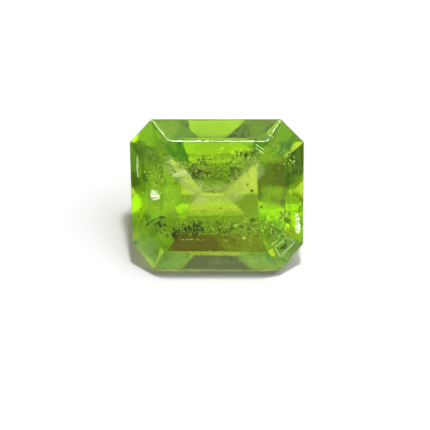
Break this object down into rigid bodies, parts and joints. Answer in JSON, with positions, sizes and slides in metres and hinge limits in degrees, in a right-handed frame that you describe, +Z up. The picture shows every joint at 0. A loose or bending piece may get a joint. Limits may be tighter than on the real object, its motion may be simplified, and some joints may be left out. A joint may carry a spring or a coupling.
{
  "type": "peridot gemstone",
  "caption": "Loose peridot cut as an octagonal step cut: a clear olive-green faceted stone lying on a facet of its pavilion.",
  "frame": {"origin": "middle of the stone's box seen from above, at the height of the facet it lies on", "axes": "+X along the long side of the girdle, +Y away from whoever faces the table, +Z up; the table faces -Y and up, 47 degrees from straight up"},
  "size_m": [0.009, 0.006, 0.0061],
  "materials": {
    "peridot": "clear polished facets, lightly frosted girdle"
  },
  "bodies": {
    "root": {"peridot_stone": "peridot"}
  },
  "joints": []
}
